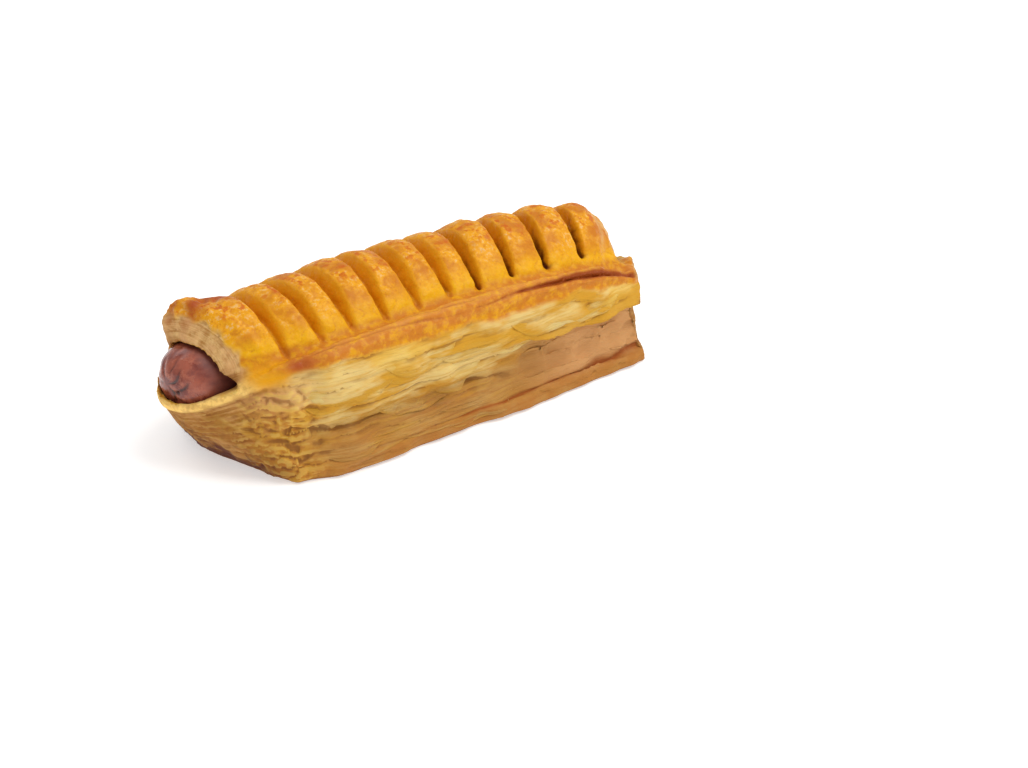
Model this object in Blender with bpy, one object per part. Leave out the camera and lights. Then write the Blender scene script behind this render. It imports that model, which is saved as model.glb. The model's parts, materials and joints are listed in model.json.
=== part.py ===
"""Sausage roll: a frankfurter baked in a folded sheet of puff pastry with slits across its top.

+X runs along the roll, +Y to the folded side, -Y to the crimped side, +Z up. The origin is under
the middle of the roll, on the surface that it rests on. Sizes are in millimetres, and MM turns
them into metres.
"""

import math
import random

import bmesh
import bpy
import numpy as np
from mathutils import Matrix

MM = 0.001

# The sausage: its girth, its two rounded tips, and how its middle sags below them.
SAUSAGE_RADIUS = 11.7
SAUSAGE_TIP_X = (-80.1, 78.0)
SAUSAGE_TIP_Z = (25.6, 24.0)
SAUSAGE_TIP_LENGTH = 12.5
SAUSAGE_MIDDLE_Z = 19.5
SAUSAGE_Y = 1.0
PUCKER_COUNT = 7
PUCKER_DEPTH = 0.75
PUCKER_LENGTH = 7.0
SAUSAGE_SIDES = 28
SAUSAGE_STATIONS = 16
SAUSAGE_GAP = 0.35

# The pastry's cross-section, as (y, z), up the crimped side, over the flap and down the fold.
NEAR_WALL = ((-30.8, 0.0), (-32.7, 2.6), (-31.8, 7.5), (-29.4, 13.2), (-30.3, 17.5), (-31.6, 23.5),
             (-30.6, 29.5))
CRIMP = ((-28.9, 32.6), (-29.2, 35.2), (-27.0, 37.3), (-24.4, 36.7), (-22.6, 35.2))
FLAP = ((-21.2, 36.0), (-17.5, 40.0), (-11.5, 44.3), (-4.5, 46.5), (2.5, 45.9), (10.0, 42.4), (17.5, 37.0))
FOLD = ((24.2, 29.8), (29.2, 22.5), (30.6, 17.3), (28.2, 11.2), (30.6, 7.6), (30.3, 3.6), (28.0, 0.0))
NEAR_WALL_STEPS = 17
CRIMP_STEPS = 5
FLAP_STEPS = 15
FOLD_STEPS = 10
FLOOR_STEPS = 10
SECTION_CRIMP_Z = 37.2
SECTION_RIDGE_Z = 46.6

# How the section changes along the roll, as (x, size).
RIDGE_ALONG = ((-71, 45.2), (-57, 45.8), (-48, 46.1), (-38, 46.8), (-25, 47.9), (-8, 47.9), (8, 47.2),
               (26, 47.3), (44, 46.4), (62, 44.2), (67, 42.0), (72, 38.6))
CRIMP_ALONG = ((-71, 34.2), (-59, 35.2), (-49, 36.2), (-38, 37.4), (16, 37.4), (28, 36.4), (41, 35.1),
               (54, 33.0), (63, 30.8), (72, 28.4))
NEAR_SPREAD_ALONG = ((-71, 0.9), (-58, 0.94), (-48, 1.02), (-36, 1.03), (0, 0.98), (14, 1.0), (40, 0.95),
                     (72, 0.88))
FAR_SPREAD_ALONG = ((-71, 0.84), (-58, 0.94), (-40, 1.0), (45, 1.0), (60, 0.95), (72, 0.86))
RIDGE_RIPPLE = 0.35

# The slits: x and y of each one's near tip, above the crimp, and the x of its far tip.
SLITS = ((-53.6, -21.8, -55.6), (-42.8, -22.5, -45.8), (-32.9, -22.5, -32.4), (-21.7, -22.5, -20.0),
         (-10.1, -22.3, -8.2), (1.0, -22.1, 4.1), (11.2, -22.1, 17.6), (23.9, -21.0, 32.0),
         (37.4, -20.0, 45.0), (52.2, -18.2, 60.0))
FLAP_NEAR_Y = -21.4
SLIT_FAR_Y = 17.5
SLIT_HALF_WIDTH = 2.1
SLIT_DEPTH = 5.2
OPEN_SLITS = 4
OPEN_SLIT_DEPTH = 13.5
SLIT_SECTIONS = 11
SLIT_SKEW = 0.66
CUTTER_ABOVE = 4.0

# The strips between the slits: how far their backs swell, and how wide the first and last are.
STRIP_CROWN = 1.7
FIRST_STRIP = 15.0
LAST_STRIP = 20.0
STRIP_FAR_Y = 23.5

# The raised corner where the flap's far end browned most.
LOBE_HEIGHT = 5.5
LOBE_PLACE = (-70.5, 10.0)
LOBE_SPREAD = (5.5, 6.0)

# The ends. Each rim point gives where the outer surface stops, by its angle about a line through the
# mouth, and each mouth point is on the edge of the opening. Angles count from the fold, over the top.
MOUTH_Z = (27.0, 24.0)
END_STATIONS = 8
BODY_STATIONS = 42
FACE_RINGS = (0.22, 0.5, 0.78)
LEFT_BLEND_X = -43.0
LEFT_LIMIT_X = -71.0
LEFT_RIM = ((-20, -61.5), (15, -63.5), (28, -68.0), (42, -72.4), (58, -73.0), (90, -68.4), (130, -62.5),
            (158, -59.0), (168, -58.8), (222, -57.4), (232, -60.2), (256, -63.6), (272, -65.6),
            (296, -65.0), (318, -61.0))
LEFT_MOUTH = ((12, -71.5, 12.5, 29.4), (50, -73.2, 8.0, 33.5), (90, -73.0, 0.0, 34.6),
              (125, -70.4, -8.0, 31.2), (152, -66.8, -14.4, 28.4), (170, -67.4, -17.2, 26.8),
              (198, -72.7, -12.6, 24.5), (235, -77.8, -7.2, 22.2), (270, -81.0, 0.4, 21.4),
              (305, -79.0, 7.0, 23.0), (338, -74.0, 11.6, 26.6))
RIGHT_BLEND_X = 50.0
RIGHT_LIMIT_X = 72.0
RIGHT_RIM = ((-20, 66.5), (15, 69.0), (40, 72.0), (60, 72.6), (90, 71.0), (130, 67.0), (152, 63.6),
             (160, 62.6), (168, 64.4), (182, 66.6), (196, 64.8), (208, 68.0), (220, 68.6), (240, 69.6),
             (270, 70.2), (296, 69.0), (318, 66.0))
RIGHT_MOUTH = ((12, 74.0, 12.6, 28.4), (50, 75.0, 8.0, 32.6), (90, 74.2, 0.0, 33.8),
               (125, 71.0, -8.0, 31.0), (152, 68.6, -14.5, 28.0), (170, 70.4, -17.2, 27.6),
               (198, 76.2, -12.2, 27.2), (235, 79.2, -7.0, 24.6), (270, 80.6, 0.6, 22.4),
               (305, 79.2, 7.3, 22.8), (338, 76.4, 12.2, 25.0))
MOUTH_DEPTH = 22.0
# The angle on the rim, and the angle on the mouth that its strip of end face runs to.
MOUTH_TURN = ((-140, -120), (-90, -88), (-42, -52), (-20, -12), (20, 24), (90, 90), (150, 152),
              (160, 163), (170, 172), (190, 190), (224, 237))
LEAST_TURN = 0.5

# The air between sausage and flap, and the flaky relief.
AIR_ABOVE = 2.6
AIR_DIRECTION = 118.0
AIR_ENDS = (60.0, 74.0)
CHANNEL_SIDES = 24
CHANNEL_STATIONS = 14
LAYER_DEPTH = 1.5
LAYER_WANDER = 0.8
WALL_WANDER = 0.55
END_ROUGHNESS = 0.6
END_BULGE = 0.9

PASTRY_COLOUR = (0.76, 0.45, 0.13, 1.0)
SAUSAGE_COLOUR = (0.30, 0.10, 0.065, 1.0)


def smooth_curve(keys, at):
    """Cubic curve through the keys' values, flat at both ends, read at each place in at."""
    keys = np.array(keys, float)
    places = keys[:, 0]
    values = keys[:, 1:]
    slopes = np.zeros_like(values)
    slopes[1:-1] = (values[2:] - values[:-2]) / (places[2:] - places[:-2])[:, None]
    at = np.clip(np.atleast_1d(np.asarray(at, float)), places[0], places[-1])
    index = np.clip(np.searchsorted(places, at, side="right") - 1, 0, len(places) - 2)
    step = (places[index + 1] - places[index])[:, None]
    t = ((at - places[index])[:, None]) / step
    return (
        values[index] * (1 + 2 * t) * (1 - t) ** 2
        + slopes[index] * step * t * (1 - t) ** 2
        + values[index + 1] * t**2 * (3 - 2 * t)
        + slopes[index + 1] * step * t**2 * (t - 1)
    )


def value_along(keys, x):
    return float(smooth_curve(keys, x)[0, 0])


def round_the_circle(keys):
    """The keys with their ends repeated a turn away, for reading at any angle."""
    first = [(key[0] + 360, *key[1:]) for key in keys if key[0] < 90]
    last = [(key[0] - 360, *key[1:]) for key in keys if key[0] > 180]
    return sorted([*last, *keys, *first])


def mouth_angles(outline, centre_z):
    """Where on the mouth each point of the rim's plain outline leads, always falling round the turn."""
    angles = np.unwrap(np.arctan2(outline[:, 1] - centre_z, outline[:, 0] - SAUSAGE_Y))
    angles = np.degrees(angles) + (360 if angles[0] < 0 else 0)
    for i in range(1, len(angles)):
        angles[i] = min(angles[i], angles[i - 1] - LEAST_TURN)
    return [value_along(MOUTH_TURN, angle) % 360 for angle in angles]


def spaced(points, count):
    """count points at even steps along a smooth curve through the given ones, without its last."""
    points = np.array(points, float)
    lengths = np.concatenate([[0], np.cumsum(np.linalg.norm(np.diff(points, axis=0), axis=1))])
    keys = np.column_stack([lengths, points])
    return smooth_curve(keys, np.linspace(0, lengths[-1], count + 1)[:-1])


class Wander:
    """A slow seeded wobble along the roll, between about -1 and 1."""

    def __init__(self, seed, wavelength):
        draw = random.Random(seed)
        self.waves = [
            (2 * math.pi / (wavelength * draw.uniform(0.5, 1.6)), draw.uniform(0, 2 * math.pi))
            for _ in range(3)
        ]

    def __call__(self, x):
        return sum(math.sin(rate * x + phase) for rate, phase in self.waves) / 1.8


LAYER_STRENGTHS = [Wander(20 + row, 26) for row in range(NEAR_WALL_STEPS)]
LAYER_HEIGHTS = [Wander(60 + row, 34) for row in range(NEAR_WALL_STEPS)]
WALL_WANDERS = [Wander(100 + row // 3, 17) for row in range(NEAR_WALL_STEPS)]
FOLD_WANDERS = [Wander(140 + row, 24) for row in range(FOLD_STEPS)]
RIDGE_WANDER = Wander(180, 21)


def slit_x(slit, y):
    """Where a slit's middle line is at y: most slits lean along the roll as they cross it."""
    near_x, near_y, far_x = slit
    return near_x + (far_x - near_x) * (y - near_y) / (SLIT_FAR_Y - near_y)


def strip_crown(x, y):
    """How far a strip's back stands above the line of the flap, falling towards its slits."""
    middles = [slit_x(slit, y) for slit in SLITS]
    edges = [middles[0] - FIRST_STRIP, *middles, middles[-1] + LAST_STRIP]
    if not edges[0] < x < edges[-1] or not FLAP_NEAR_Y < y < STRIP_FAR_Y:
        return 0.0
    strip = next(i for i in range(len(edges) - 1) if x < edges[i + 1])
    across = (x - edges[strip]) / (edges[strip + 1] - edges[strip])
    along = (y - FLAP_NEAR_Y) / (STRIP_FAR_Y - FLAP_NEAR_Y)
    return STRIP_CROWN * (math.sin(math.pi * across) ** 0.8 - 0.55) * math.sin(math.pi * along) ** 0.5


def lobe(x, y):
    across = (x - LOBE_PLACE[0]) / LOBE_SPREAD[0]
    along = (y - LOBE_PLACE[1]) / LOBE_SPREAD[1]
    return LOBE_HEIGHT * math.exp(-across * across - along * along)


def section(x, relief=1.0):
    """The pastry's outline at x, as (y, z) rows, from the near bottom edge over the top."""
    ridge = value_along(RIDGE_ALONG, x) + RIDGE_RIPPLE * RIDGE_WANDER(x)
    crimp = value_along(CRIMP_ALONG, x)
    near_spread = value_along(NEAR_SPREAD_ALONG, x)
    far_spread = value_along(FAR_SPREAD_ALONG, x)
    wall = spaced([*NEAR_WALL, CRIMP[0]], NEAR_WALL_STEPS)
    for row in range(1, NEAR_WALL_STEPS):
        strength = 0.62 + 0.38 * LAYER_STRENGTHS[row](x)
        bulge = (0.5 if row % 2 else -0.5) * LAYER_DEPTH * strength
        lift = LAYER_WANDER * LAYER_HEIGHTS[row](x) * math.sin(math.pi * row / NEAR_WALL_STEPS)
        wall[row] += relief * np.array([-bulge - WALL_WANDER * WALL_WANDERS[row](x), lift])
    crest = spaced([*CRIMP, FLAP[0]], CRIMP_STEPS)
    flap = spaced([*FLAP, FOLD[0]], FLAP_STEPS)
    fold = spaced(FOLD, FOLD_STEPS)
    for row in range(2, FOLD_STEPS):
        fold[row, 0] += relief * WALL_WANDER * FOLD_WANDERS[row](x)
    floor_y = np.linspace(FOLD[-1][0], NEAR_WALL[0][0], FLOOR_STEPS + 1)[:-1]
    floor = np.column_stack([floor_y, np.zeros(FLOOR_STEPS)])

    rise = (ridge - crimp) / (SECTION_RIDGE_Z - SECTION_CRIMP_Z)
    for rows in (wall, crest, flap, fold):
        above = np.maximum(rows[:, 1] - SECTION_CRIMP_Z, 0.0)
        rows[:, 1] = (rows[:, 1] - above) * crimp / SECTION_CRIMP_Z + above * rise
    for point in flap:
        point[1] += strip_crown(x, point[0]) + lobe(x, point[0])
    outline = np.vstack([wall, crest, flap, fold, floor])
    outline[:, 0] *= np.where(outline[:, 0] < 0, near_spread, far_spread)
    return outline


def sausage_axis_z(x):
    """The sausage sags in an even curve between its two tips."""
    side = 0 if x < 0 else 1
    return SAUSAGE_MIDDLE_Z + (SAUSAGE_TIP_Z[side] - SAUSAGE_MIDDLE_Z) * (x / SAUSAGE_TIP_X[side]) ** 2


def angle_about_mouth(point, centre_z):
    return math.degrees(math.atan2(point[2] - centre_z, point[1] - SAUSAGE_Y)) % 360


def end_rings(side, blend_x, limit, rim_keys, mouth_keys):
    """Rings from the last body section out to the rim, then over the end face into the mouth."""
    rim_keys = round_the_circle(rim_keys)
    mouth_keys = round_the_circle(mouth_keys)
    centre_z = MOUTH_Z[side]
    rings = []
    for step in range(1, END_STATIONS + 1):
        share = step / END_STATIONS
        x = blend_x + (limit - blend_x) * share
        outline = section(x)
        ring = np.column_stack([np.full(len(outline), x), outline])
        rims = np.array([value_along(rim_keys, angle_about_mouth(point, centre_z)) for point in ring])
        weight = share**1.3
        ring[:, 0] = x + (rims - limit) * weight
        rings.append(ring)
    rim = rings[-1]
    draw = random.Random(300 + side)
    turn = mouth_angles(section(limit, relief=0.0), centre_z)
    mouth = np.array([smooth_curve(mouth_keys, angle)[0] for angle in turn])
    outward = -1 if side == 0 else 1
    for share in FACE_RINGS:
        ring = rim + (mouth - rim) * share
        rough = np.array([draw.uniform(-1, 1) for _ in rim]) * END_ROUGHNESS * (1 - share)
        ring[:, 0] += outward * (END_BULGE * 4 * share * (1 - share) + rough)
        rings.append(ring)
    rings.append(mouth)
    return rings


def solid_from_rings(name, rings, tips=None):
    """A closed mesh through rings of equal length, with a fan on each end to its tip."""
    count = len(rings[0])
    if tips is None:
        tips = (rings[0].mean(axis=0), rings[-1].mean(axis=0))
    points = np.vstack([*rings, *tips]) * MM
    faces = []
    for ring in range(len(rings) - 1):
        for i in range(count):
            j = (i + 1) % count
            low = ring * count
            high = low + count
            faces.append((low + i, low + j, high + j, high + i))
    last = (len(rings) - 1) * count
    for i in range(count):
        j = (i + 1) % count
        faces.append((len(points) - 2, j, i))
        faces.append((len(points) - 1, last + i, last + j))
    return solid_from_faces(name, points, faces)


def solid_from_faces(name, points, faces):
    mesh = bpy.data.meshes.new(name)
    mesh.from_pydata([tuple(point) for point in points], [], faces)
    shape = bmesh.new()
    shape.from_mesh(mesh)
    bmesh.ops.recalc_face_normals(shape, faces=shape.faces)
    bmesh.ops.triangulate(shape, faces=shape.faces)
    shape.to_mesh(mesh)
    shape.free()
    solid = bpy.data.objects.new(name, mesh)
    bpy.context.collection.objects.link(solid)
    return solid


def pastry_rings():
    left = end_rings(0, LEFT_BLEND_X, LEFT_LIMIT_X, LEFT_RIM, LEFT_MOUTH)
    right = end_rings(1, RIGHT_BLEND_X, RIGHT_LIMIT_X, RIGHT_RIM, RIGHT_MOUTH)
    body = []
    for x in np.linspace(LEFT_BLEND_X, RIGHT_BLEND_X, BODY_STATIONS):
        outline = section(x)
        body.append(np.column_stack([np.full(len(outline), x), outline]))
    return [*reversed(left), *body, *right]


def sausage_radius(x, gap):
    """The sausage's radius at x with a gap round it: straight, then closing as an ellipse."""
    low = SAUSAGE_TIP_X[0] - gap
    high = SAUSAGE_TIP_X[1] + gap
    from_tip = max(min(x - low, high - x), 0.0)
    reach = min(from_tip / (SAUSAGE_TIP_LENGTH + gap), 1.0)
    return (SAUSAGE_RADIUS + gap) * math.sqrt(max(1 - (1 - reach) ** 2, 0.0))


def tube_stations(gap, count):
    """Places along the sausage, closer together where its tips round off."""
    low = SAUSAGE_TIP_X[0] - gap
    high = SAUSAGE_TIP_X[1] + gap
    ends = SAUSAGE_TIP_LENGTH * (1 - np.cos(np.linspace(0.14, math.pi / 2, 7)))
    middle = np.linspace(low + SAUSAGE_TIP_LENGTH, high - SAUSAGE_TIP_LENGTH, count)[1:-1]
    return np.concatenate([low + ends, middle, (high - ends)[::-1]])


def tube_rings(gap, sides, count, air):
    rings = []
    for x in tube_stations(gap, count):
        radius = sausage_radius(x, gap)
        inside = min(1.0, max(0.0, (AIR_ENDS[1] - abs(x)) / (AIR_ENDS[1] - AIR_ENDS[0])))
        ring = []
        for i in range(sides):
            angle = 2 * math.pi * i / sides
            lean = max(0.0, math.cos(angle - math.radians(AIR_DIRECTION)))
            reach = radius + air * inside * lean**0.8
            if not air:
                reach *= 1 - pucker(x, angle)
            y = SAUSAGE_Y + reach * math.cos(angle)
            z = sausage_axis_z(x) + reach * math.sin(angle)
            ring.append((x, y, z))
        rings.append(np.array(ring))
    return rings


def pucker(x, angle):
    """The share of the radius that a tip's drawn-in creases take away."""
    from_tip = min(x - SAUSAGE_TIP_X[0], SAUSAGE_TIP_X[1] - x)
    near_tip = max(0.0, 1 - from_tip / PUCKER_LENGTH)
    return PUCKER_DEPTH / SAUSAGE_RADIUS * near_tip * (1 + math.cos(PUCKER_COUNT * angle))


def slit_solid(name, slit, depth):
    """A blade-shaped cutter across the flap: widest below the ridge, closing to a point at each end."""
    near_y = slit[1]
    outline = section((slit[0] + slit[2]) / 2)
    first = NEAR_WALL_STEPS + CRIMP_STEPS - 1
    flap = outline[first : first + FLAP_STEPS + 3]
    keys = flap[np.argsort(flap[:, 0])]
    rings = []
    for share in np.linspace(0.03, 0.97, SLIT_SECTIONS):
        y = near_y + (SLIT_FAR_Y - near_y) * share
        z = value_along(keys, y)
        slope = value_along(keys, y + 0.5) - value_along(keys, y - 0.5)
        normal = np.array([-slope, 1.0]) / math.hypot(slope, 1.0)
        shape = math.sin(math.pi * share**SLIT_SKEW)
        half = SLIT_HALF_WIDTH * shape**0.75
        deep = depth * shape**0.55
        flare = half * (1 + CUTTER_ABOVE / max(deep, 2.0))
        corners = (
            (-flare, CUTTER_ABOVE),
            (flare, CUTTER_ABOVE),
            (half * 0.6, -deep * 0.6),
            (0.0, -deep),
            (-half * 0.3, -deep * 0.6),
        )
        ring = []
        for across, along in corners:
            ring.append((slit_x(slit, y) + across, y + normal[0] * along, z + normal[1] * along))
        rings.append(np.array(ring))
    tips = [(slit_x(slit, y), y, value_along(keys, y)) for y in (near_y, SLIT_FAR_Y)]
    return solid_from_rings(name, rings, tips)


def cut(target, cutter, name):
    cutter.hide_render = True
    cutter.display_type = "WIRE"
    modifier = target.modifiers.new(name, "BOOLEAN")
    modifier.operation = "DIFFERENCE"
    modifier.solver = "EXACT"
    modifier.object = cutter


def joined(name, solids):
    """One object that holds the meshes of several, which stay apart as closed shells."""
    shape = bmesh.new()
    for solid in solids:
        shape.from_mesh(solid.data)
        bpy.data.objects.remove(solid)
    mesh = bpy.data.meshes.new(name)
    shape.to_mesh(mesh)
    shape.free()
    whole = bpy.data.objects.new(name, mesh)
    bpy.context.collection.objects.link(whole)
    return whole


def stand_on_origin(solids):
    """Moves every mesh so that the middle of the whole roll's underside is the origin."""
    points = np.array([vertex.co for solid in solids for vertex in solid.data.vertices])
    low = points.min(axis=0)
    high = points.max(axis=0)
    shift = Matrix.Translation((-(low[0] + high[0]) / 2, -(low[1] + high[1]) / 2, -low[2]))
    for obj in bpy.data.objects:
        obj.data.transform(shift)


def finish(solid, colour, roughness):
    material = bpy.data.materials.new(solid.name)
    material.use_nodes = True
    shader = material.node_tree.nodes["Principled BSDF"]
    shader.inputs["Base Color"].default_value = colour
    shader.inputs["Roughness"].default_value = roughness
    shader.inputs["Metallic"].default_value = 0.0
    solid.data.materials.append(material)
    solid.data.shade_smooth()


def main():
    for old in list(bpy.data.objects):
        bpy.data.objects.remove(old)
    mouth_tips = []
    for tip_x in (SAUSAGE_TIP_X[0] + MOUTH_DEPTH, SAUSAGE_TIP_X[1] - MOUTH_DEPTH):
        mouth_tips.append((tip_x, SAUSAGE_Y, sausage_axis_z(tip_x)))
    pastry = solid_from_rings("pastry", pastry_rings(), mouth_tips)
    channel_rings = tube_rings(SAUSAGE_GAP, CHANNEL_SIDES, CHANNEL_STATIONS, AIR_ABOVE)
    channel = solid_from_rings("channel_cutter", channel_rings)
    slits = []
    for i, slit in enumerate(SLITS):
        depth = OPEN_SLIT_DEPTH if i >= len(SLITS) - OPEN_SLITS else SLIT_DEPTH
        slits.append(slit_solid(f"slit_{i + 1}", slit, depth))
    slit_cutter = joined("slit_cutter", slits)
    sausage = solid_from_rings("sausage", tube_rings(0.0, SAUSAGE_SIDES, SAUSAGE_STATIONS, 0.0))
    stand_on_origin([pastry, sausage])
    cut(pastry, channel, "Channel")
    cut(pastry, slit_cutter, "Slits")
    finish(pastry, PASTRY_COLOUR, 0.55)
    finish(sausage, SAUSAGE_COLOUR, 0.35)


main()
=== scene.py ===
import json
import math
import random

import bpy
import numpy as np
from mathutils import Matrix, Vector, noise
from mathutils.bvhtree import BVHTree

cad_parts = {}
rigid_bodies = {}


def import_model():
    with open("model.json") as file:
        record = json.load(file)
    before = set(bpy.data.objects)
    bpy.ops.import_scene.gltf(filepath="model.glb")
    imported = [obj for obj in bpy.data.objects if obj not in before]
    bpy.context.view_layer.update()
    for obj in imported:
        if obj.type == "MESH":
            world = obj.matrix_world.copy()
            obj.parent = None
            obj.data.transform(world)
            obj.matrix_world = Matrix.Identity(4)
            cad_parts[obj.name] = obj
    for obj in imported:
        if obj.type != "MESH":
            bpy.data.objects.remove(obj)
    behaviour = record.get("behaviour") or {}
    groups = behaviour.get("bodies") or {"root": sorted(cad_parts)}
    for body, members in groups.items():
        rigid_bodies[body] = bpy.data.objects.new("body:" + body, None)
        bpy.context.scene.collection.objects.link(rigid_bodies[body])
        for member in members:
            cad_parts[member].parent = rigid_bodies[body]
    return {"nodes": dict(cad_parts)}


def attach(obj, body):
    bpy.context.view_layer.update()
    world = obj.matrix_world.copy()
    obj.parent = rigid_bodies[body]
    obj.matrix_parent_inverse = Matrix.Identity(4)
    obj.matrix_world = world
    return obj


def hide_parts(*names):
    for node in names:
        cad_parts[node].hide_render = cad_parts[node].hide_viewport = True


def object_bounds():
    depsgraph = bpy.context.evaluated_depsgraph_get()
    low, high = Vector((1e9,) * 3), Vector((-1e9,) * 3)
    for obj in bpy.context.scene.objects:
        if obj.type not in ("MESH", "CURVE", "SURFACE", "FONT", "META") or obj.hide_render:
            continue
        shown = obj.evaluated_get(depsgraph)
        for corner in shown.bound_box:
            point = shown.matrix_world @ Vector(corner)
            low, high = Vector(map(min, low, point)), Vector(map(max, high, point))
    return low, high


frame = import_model()
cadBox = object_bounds()
mm = 0.001
print("frame loaded")


# small tools

def pickNothing():
    bpy.ops.object.select_all(action="DESELECT")


def pick(piece):
    pickNothing()
    piece.select_set(True)
    bpy.context.view_layer.objects.active = piece


def applyAll(piece):
    pick(piece)
    for modifier in list(piece.modifiers):
        bpy.ops.object.modifier_apply(modifier=modifier.name)


def copyOfNode(node, name):
    pick(frame["nodes"][node])
    bpy.ops.object.duplicate()
    copy = bpy.context.active_object
    copy.name = name
    copy.data.name = name
    copy.parent = None
    for key in list(copy.keys()):
        del copy[key]
    copy.data.materials.clear()
    bpy.ops.object.mode_set(mode="EDIT")
    bpy.ops.mesh.select_all(action="SELECT")
    bpy.ops.mesh.remove_doubles(threshold=1e-6)
    bpy.ops.mesh.normals_make_consistent(inside=False)
    bpy.ops.object.mode_set(mode="OBJECT")
    return copy


def pointsOf(piece):
    points = np.empty(len(piece.data.vertices) * 3)
    piece.data.vertices.foreach_get("co", points)
    return points.reshape(-1, 3) / mm


def normalsOf(piece):
    normals = np.empty(len(piece.data.vertices) * 3)
    piece.data.vertices.foreach_get("normal", normals)
    return normals.reshape(-1, 3)


def movePoints(piece, points):
    piece.data.vertices.foreach_set("co", (points * mm).ravel())
    piece.data.update()


def ramp(values, low, high):
    t = np.clip((values - low) / (high - low), 0, 1)
    return t * t * (3 - 2 * t)


def along(places, keys):
    return np.interp(places, [key[0] for key in keys], [key[1] for key in keys])


def wander(points, size, seed):
    cells = points / np.array(size) + seed * 7.31
    return np.array([noise.noise(Vector(cell)) for cell in cells])


def cracks(points, size, seed):  # 1 along wandering lines, 0 between them
    return 1 - np.minimum(np.abs(wander(points, size, seed)) * 2.6, 1)


def bubbles(points, size, seed):  # distance to the nearest of many scattered centres, in cells
    cells = points / size + seed * 5.17
    return np.array([noise.voronoi(Vector(cell))[0][0] for cell in cells])


def blurred(piece, values, rounds):
    edges = np.empty(len(piece.data.edges) * 2, int)
    piece.data.edges.foreach_get("vertices", edges)
    a, b = edges.reshape(-1, 2).T
    count = len(values)
    near = np.bincount(a, minlength=count) + np.bincount(b, minlength=count)
    near = np.maximum(near, 1)
    values = values.copy()
    for _ in range(rounds):
        if values.ndim == 1:
            total = np.bincount(a, values[b], count) + np.bincount(b, values[a], count)
            values = 0.5 * values + 0.5 * total / near
        else:
            for axis in range(values.shape[1]):
                part = values[:, axis]
                total = np.bincount(a, part[b], count) + np.bincount(b, part[a], count)
                values[:, axis] = 0.5 * part + 0.5 * total / near
    return values


def insideCad(points, margin=0.02):
    low, high = (np.array(corner) / mm for corner in cadBox)
    return np.clip(points, low + margin, high - margin)


def store(piece, name, values):
    if values.ndim == 1:
        layer = piece.data.attributes.new(name, "FLOAT", "POINT")
        layer.data.foreach_set("value", values.astype(np.float32))
    else:
        layer = piece.data.attributes.new(name, "FLOAT_VECTOR", "POINT")
        layer.data.foreach_set("vector", values.astype(np.float32).ravel())


def colour(red, green, blue):  # from the 0-255 values of a screen colour
    linear = []
    for value in (red, green, blue):
        value /= 255
        linear.append(value / 12.92 if value < 0.04045 else ((value + 0.055) / 1.055) ** 2.4)
    return (*linear, 1.0)


# camera and room

view = {
    "place": (-0.351643, -0.487626, 0.28955),
    "down": 25.516,
    "turn": -38.7076,
    "lens": 79.67,
    "sensor": 36,
}
cameraData = bpy.data.cameras.new("camera")
cameraData.lens = view["lens"]
cameraData.sensor_width = view["sensor"]
camera = bpy.data.objects.new("camera", cameraData)
bpy.context.scene.collection.objects.link(camera)
camera.location = view["place"]
camera.rotation_euler = (math.radians(90 - view["down"]), 0, math.radians(view["turn"]))
bpy.context.scene.camera = camera

room = {
    "world": 0.6,
    "aim": (0, 0, 0.02),
    "key": {"at": (0.34, -0.4, 0.85), "size": 0.9, "power": 6.6},
    "fill": {"at": (-0.65, -0.5, 0.45), "size": 0.6, "power": 0.25},
    "back": {"at": (-0.25, 0.6, 0.8), "size": 0.6, "power": 1.4},
    "floor": 0.78,
    "floorGlow": 0.45,
    "floorRoughness": 0.9,
    "floorSize": 6,
}
bpy.context.scene.view_settings.view_transform = "Standard"
world = bpy.data.worlds.new("studio")
bpy.context.scene.world = world
world.use_nodes = True
sky = world.node_tree.nodes["Background"].inputs
sky["Color"].default_value = (1, 1, 1, 1)
sky["Strength"].default_value = room["world"]
for name in ("key", "fill", "back"):
    lamp = bpy.data.lights.new(name, "AREA")
    lamp.shape = "DISK"
    lamp.size = room[name]["size"]
    lamp.energy = room[name]["power"]
    holder = bpy.data.objects.new(name, lamp)
    bpy.context.scene.collection.objects.link(holder)
    holder.location = room[name]["at"]
    aim = Vector(room["aim"]) - holder.location
    holder.rotation_euler = aim.to_track_quat("-Z", "Y").to_euler()

pickNothing()
bpy.ops.mesh.primitive_plane_add(size=room["floorSize"], location=(0, 0, 0))
floor = bpy.context.active_object
floor.name = "floor"
floorLook = bpy.data.materials.new("paleFloor")
floorLook.use_nodes = True
floorShader = floorLook.node_tree.nodes["Principled BSDF"].inputs
floorShader["Base Color"].default_value = (room["floor"], room["floor"], room["floor"], 1)
floorShader["Roughness"].default_value = room["floorRoughness"]
floorShader["Emission Color"].default_value = (1, 1, 1, 1)
floorShader["Emission Strength"].default_value = room["floorGlow"]
floor.data.materials.append(floorLook)
print("camera and room ready")


# the baked pastry

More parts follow.
